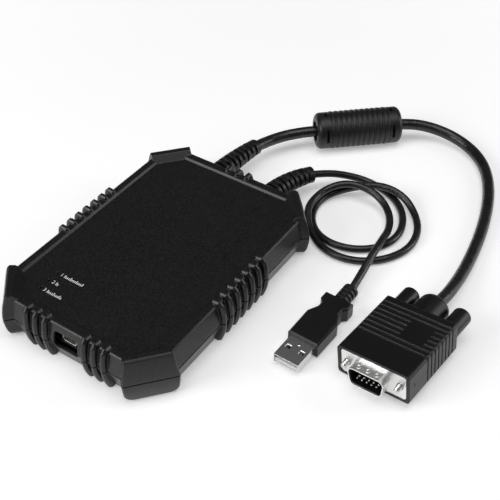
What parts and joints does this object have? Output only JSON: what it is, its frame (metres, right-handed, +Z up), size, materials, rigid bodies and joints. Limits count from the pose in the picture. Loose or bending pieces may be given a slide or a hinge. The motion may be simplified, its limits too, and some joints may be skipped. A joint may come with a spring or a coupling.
{
  "type": "crash cart adapter",
  "caption": "Ribbed black handheld box with corner bumpers that links a laptop to a server: mini USB port in front, tailed video and USB cables with plugs behind.",
  "frame": {"origin": "bottom centre of the housing, on the plane of its feet", "axes": "+Z up out of the panel; -Y out of the front wall with the mini USB port; +Y out of the back wall, where the cables leave; +X to the right seen from the front"},
  "size_m": [0.1795, 0.2401, 0.023],
  "materials": {
    "case_black": "fine spark texture, satin",
    "screw_steel": "zinc plated",
    "board_mask": "black solder mask",
    "chip_black": "moulded",
    "can_steel": "plain",
    "lamp_clear": "clear",
    "header_white": "moulded",
    "socket_steel": "nickel plated",
    "contact_gold": "gold flash",
    "insulator_black": "moulded",
    "boot_black": "satin PVC",
    "jacket_black": "glossy PVC",
    "ferrite_case_black": "satin",
    "ferrite_grey": "sintered",
    "plug_black": "satin PVC",
    "plug_nickel": "nickel plated"
  },
  "bodies": {
    "adapter": {"top_shell": "case_black", "bottom_shell": "case_black", "case_screws": "screw_steel", "circuit_board": "board_mask", "main_chip": "chip_black", "memory_chip": "chip_black", "usb_chip": "chip_black", "capacitors": "chip_black", "crystal": "can_steel", "status_leds": "lamp_clear", "light_pipes": "lamp_clear", "vga_wire_header": "header_white", "usb_wire_header": "header_white", "usb_plug_tongue": "header_white", "mini_usb_shell": "socket_steel", "mini_usb_contacts": "contact_gold", "usb_plug_contacts": "contact_gold", "mini_usb_tongue": "insulator_black", "vga_plug_insulator": "insulator_black", "vga_boot": "boot_black", "usb_boot": "boot_black", "vga_cable": "jacket_black", "usb_cable": "jacket_black", "vga_wire_bundle": "jacket_black", "usb_wire_bundle": "jacket_black", "ferrite_upper_case": "ferrite_case_black", "ferrite_lower_case": "ferrite_case_black", "ferrite_upper_core": "ferrite_grey", "ferrite_lower_core": "ferrite_grey", "vga_plug_hood": "plug_black", "usb_plug_body": "plug_black", "vga_plug_shell": "plug_nickel", "vga_plug_pins": "plug_nickel", "usb_plug_shell": "plug_nickel"},
    "left_thumbscrew": {"left_jackscrew": "plug_nickel", "left_thumbscrew_knob": "plug_black"},
    "right_thumbscrew": {"right_jackscrew": "plug_nickel", "right_thumbscrew_knob": "plug_black"}
  },
  "joints": [
    {"name": "left_thumbscrew_turn", "type": "hinge", "parent": "adapter", "child": "left_thumbscrew", "pos_m": [0.10012, 0.01643, 0.00781], "axis": [0.0908, 0.9959, 0], "continuous": true},
    {"name": "right_thumbscrew_turn", "type": "hinge", "parent": "adapter", "child": "right_thumbscrew", "pos_m": [0.12482, 0.01418, 0.01085], "axis": [0.0908, 0.9959, 0], "continuous": true}
  ]
}
